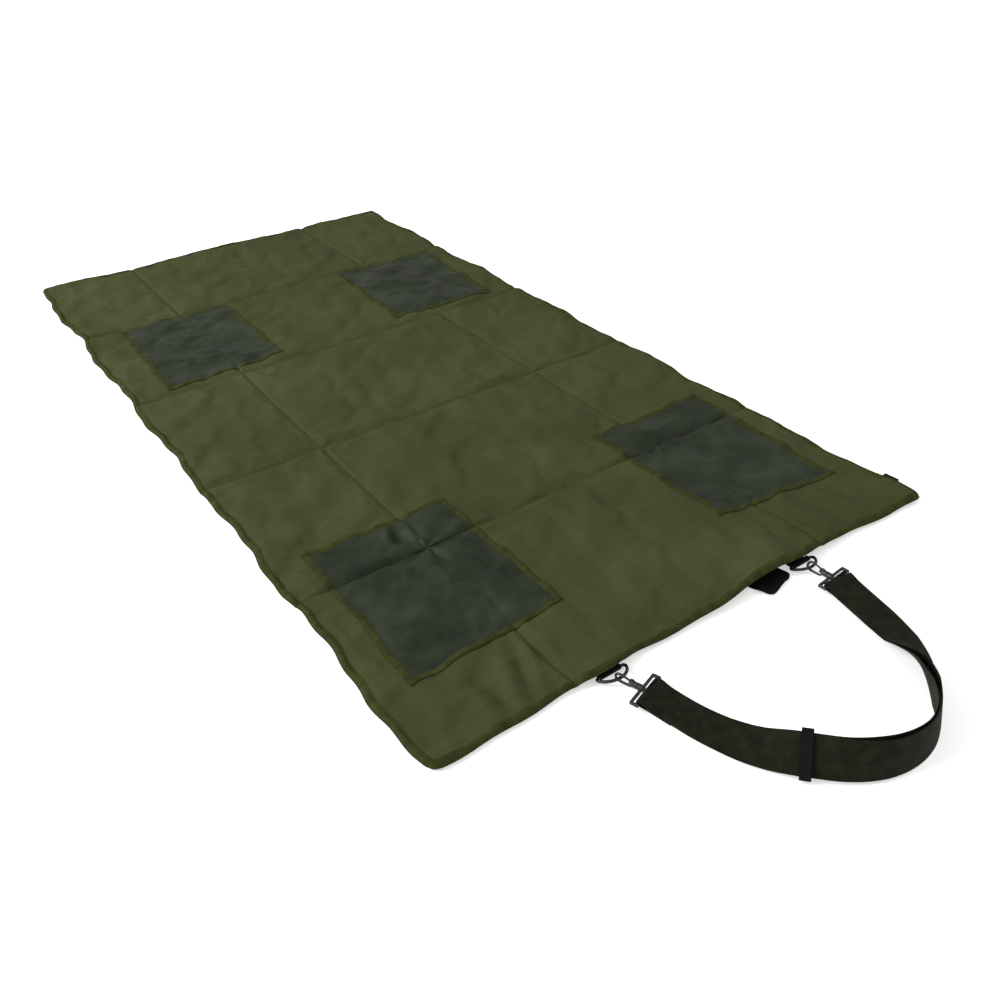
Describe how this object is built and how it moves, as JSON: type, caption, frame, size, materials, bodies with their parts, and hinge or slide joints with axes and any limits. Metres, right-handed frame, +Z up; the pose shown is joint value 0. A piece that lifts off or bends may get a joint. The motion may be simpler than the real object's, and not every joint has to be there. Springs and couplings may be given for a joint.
{
  "type": "folding padded ground mat",
  "caption": "Padded olive ground mat of hinged panels with rubbery elbow and knee patches, folding into a bundle carried by a webbing shoulder strap on snap hooks.",
  "frame": {"origin": "middle of the flat underside of the mat, on the surface that it lies on", "axes": "+Z up, +Y from the strap end to the far end, +X to the right seen from the strap end"},
  "size_m": [0.909, 2.0733, 0.0522],
  "materials": {
    "foam": "matte",
    "cover_cloth": "woven polyester",
    "patch_cloth": "grained",
    "black_webbing": "woven",
    "strap_webbing": "woven",
    "label": "satin",
    "black_hardware": "semi gloss"
  },
  "bodies": {
    "row_1": {"foam_1_centre": "foam", "cover_1_centre": "cover_cloth", "elbow_patch_left_1_middle": "patch_cloth", "elbow_patch_right_1_middle": "patch_cloth", "ring_tab_left": "black_webbing", "ring_tab_right": "black_webbing", "closing_tab_base": "black_webbing"},
    "row_2": {"foam_2_centre": "foam", "cover_2_centre": "cover_cloth", "elbow_patch_left_2_middle": "patch_cloth", "elbow_patch_right_2_middle": "patch_cloth"},
    "row_3": {"foam_3_centre": "foam", "cover_3_centre": "cover_cloth"},
    "row_4": {"foam_4_centre": "foam", "cover_4_centre": "cover_cloth", "knee_patch_left_4_middle": "patch_cloth", "knee_patch_right_4_middle": "patch_cloth"},
    "row_5": {"foam_5_centre": "foam", "cover_5_centre": "cover_cloth"},
    "side_left_1": {"foam_1_left": "foam", "cover_1_left": "cover_cloth", "elbow_patch_left_1_flap": "patch_cloth"},
    "side_right_1": {"foam_1_right": "foam", "cover_1_right": "cover_cloth", "elbow_patch_right_1_flap": "patch_cloth", "label_tab": "label"},
    "side_left_2": {"foam_2_left": "foam", "cover_2_left": "cover_cloth", "elbow_patch_left_2_flap": "patch_cloth"},
    "side_right_2": {"foam_2_right": "foam", "cover_2_right": "cover_cloth", "elbow_patch_right_2_flap": "patch_cloth"},
    "side_left_3": {"foam_3_left": "foam", "cover_3_left": "cover_cloth"},
    "side_right_3": {"foam_3_right": "foam", "cover_3_right": "cover_cloth"},
    "side_left_4": {"foam_4_left": "foam", "cover_4_left": "cover_cloth", "knee_patch_left_4_flap": "patch_cloth"},
    "side_right_4": {"foam_4_right": "foam", "cover_4_right": "cover_cloth", "knee_patch_right_4_flap": "patch_cloth"},
    "side_left_5": {"foam_5_left": "foam", "cover_5_left": "cover_cloth"},
    "side_right_5": {"foam_5_right": "foam", "cover_5_right": "cover_cloth"},
    "ring_left": {"d_ring_left": "black_hardware"},
    "ring_right": {"d_ring_right": "black_hardware"},
    "strap": {"shoulder_strap": "strap_webbing", "strap_slider": "black_hardware", "hook_frame_left": "black_hardware", "hook_frame_right": "black_hardware"},
    "hook_left": {"snap_hook_left": "black_hardware", "gate_rivet_left": "black_hardware"},
    "gate_left": {"gate_left": "black_hardware"},
    "hook_right": {"snap_hook_right": "black_hardware", "gate_rivet_right": "black_hardware"},
    "gate_right": {"gate_right": "black_hardware"},
    "closing_tab": {"closing_tab_end": "black_webbing"}
  },
  "joints": [
    {"name": "fold_1_2", "type": "hinge", "parent": "row_1", "child": "row_2", "pos_m": [0, -0.525, 0.0205], "axis": [1, 0, 0], "range_deg": [0, 180]},
    {"name": "fold_2_3", "type": "hinge", "parent": "row_2", "child": "row_3", "pos_m": [0, -0.175, -0.0003], "axis": [1, 0, 0], "range_deg": [-180, 0]},
    {"name": "fold_3_4", "type": "hinge", "parent": "row_3", "child": "row_4", "pos_m": [0, 0.175, 0.0205], "axis": [1, 0, 0], "range_deg": [0, 180]},
    {"name": "fold_4_5", "type": "hinge", "parent": "row_4", "child": "row_5", "pos_m": [0, 0.525, -0.0003], "axis": [1, 0, 0], "range_deg": [-180, 0]},
    {"name": "side_left_1_fold", "type": "hinge", "parent": "row_1", "child": "side_left_1", "pos_m": [-0.232, -0.7, 0.0101], "axis": [0, 1, 0], "range_deg": [0, 180]},
    {"name": "side_left_2_fold", "type": "hinge", "parent": "row_2", "child": "side_left_2", "pos_m": [-0.232, -0.35, 0.0101], "axis": [0, 1, 0], "range_deg": [0, 180]},
    {"name": "side_left_3_fold", "type": "hinge", "parent": "row_3", "child": "side_left_3", "pos_m": [-0.232, 0, 0.0101], "axis": [0, 1, 0], "range_deg": [0, 180]},
    {"name": "side_left_4_fold", "type": "hinge", "parent": "row_4", "child": "side_left_4", "pos_m": [-0.232, 0.35, 0.0101], "axis": [0, 1, 0], "range_deg": [0, 180]},
    {"name": "side_left_5_fold", "type": "hinge", "parent": "row_5", "child": "side_left_5", "pos_m": [-0.232, 0.7, 0.0101], "axis": [0, 1, 0], "range_deg": [0, 180]},
    {"name": "side_right_1_fold", "type": "hinge", "parent": "row_1", "child": "side_right_1", "pos_m": [0.232, -0.7, 0.0101], "axis": [0, -1, 0], "range_deg": [0, 180]},
    {"name": "side_right_2_fold", "type": "hinge", "parent": "row_2", "child": "side_right_2", "pos_m": [0.232, -0.35, 0.0101], "axis": [0, -1, 0], "range_deg": [0, 180]},
    {"name": "side_right_3_fold", "type": "hinge", "parent": "row_3", "child": "side_right_3", "pos_m": [0.232, 0, 0.0101], "axis": [0, -1, 0], "range_deg": [0, 180]},
    {"name": "side_right_4_fold", "type": "hinge", "parent": "row_4", "child": "side_right_4", "pos_m": [0.232, 0.35, 0.0101], "axis": [0, -1, 0], "range_deg": [0, 180]},
    {"name": "side_right_5_fold", "type": "hinge", "parent": "row_5", "child": "side_right_5", "pos_m": [0.232, 0.7, 0.0101], "axis": [0, -1, 0], "range_deg": [0, 180]},
    {"name": "ring_left_swing", "type": "hinge", "parent": "row_1", "child": "ring_left", "pos_m": [-0.181, -0.8789, 0.0042], "axis": [-1, 0, 0], "range_deg": [0, 50]},
    {"name": "ring_right_swing", "type": "hinge", "parent": "row_1", "child": "ring_right", "pos_m": [0.181, -0.8789, 0.0042], "axis": [-1, 0, 0], "range_deg": [0, 50]},
    {"name": "strap_swing", "type": "hinge", "parent": "ring_left", "child": "strap", "pos_m": [-0.181, -0.89856, 0.01], "axis": [-1, 0, 0], "range_deg": [0, 25]},
    {"name": "hook_left_swivel", "type": "hinge", "parent": "strap", "child": "hook_left", "pos_m": [-0.17142, -0.92805, 0.01], "axis": [-0.309, 0.9511, 0], "range_deg": [-20, 20]},
    {"name": "gate_left_open", "type": "hinge", "parent": "hook_left", "child": "gate_left", "pos_m": [-0.1763, -0.91302, 0.0128], "axis": [-0.9511, -0.309, 0], "range_deg": [0, 22], "stiffness_Nm_per_rad": 0.004},
    {"name": "hook_right_swivel", "type": "hinge", "parent": "strap", "child": "hook_right", "pos_m": [0.1837, -0.92944, 0.01], "axis": [-0.0872, 0.9962, 0], "range_deg": [-20, 10]},
    {"name": "gate_right_open", "type": "hinge", "parent": "hook_right", "child": "gate_right", "pos_m": [0.1835, -0.9136, 0.01254], "axis": [-0.9029, -0.079, 0.4226], "range_deg": [0, 22], "stiffness_Nm_per_rad": 0.004},
    {"name": "closing_tab_bend", "type": "hinge", "parent": "row_1", "child": "closing_tab", "pos_m": [0.112, -0.8775, 0.0008], "axis": [-1, 0, 0], "range_deg": [0, 90]}
  ],
  "couplings": [
    {"joint": "fold_2_3", "follows": "fold_1_2", "ratio": -1},
    {"joint": "fold_3_4", "follows": "fold_1_2", "ratio": 1},
    {"joint": "fold_4_5", "follows": "fold_1_2", "ratio": -1},
    {"joint": "side_left_2_fold", "follows": "side_left_1_fold", "ratio": 1},
    {"joint": "side_left_3_fold", "follows": "side_left_1_fold", "ratio": 1},
    {"joint": "side_left_4_fold", "follows": "side_left_1_fold", "ratio": 1},
    {"joint": "side_left_5_fold", "follows": "side_left_1_fold", "ratio": 1},
    {"joint": "side_right_2_fold", "follows": "side_right_1_fold", "ratio": 1},
    {"joint": "side_right_3_fold", "follows": "side_right_1_fold", "ratio": 1},
    {"joint": "side_right_4_fold", "follows": "side_right_1_fold", "ratio": 1},
    {"joint": "side_right_5_fold", "follows": "side_right_1_fold", "ratio": 1},
    {"joint": "ring_right_swing", "follows": "ring_left_swing", "ratio": 1}
  ]
}
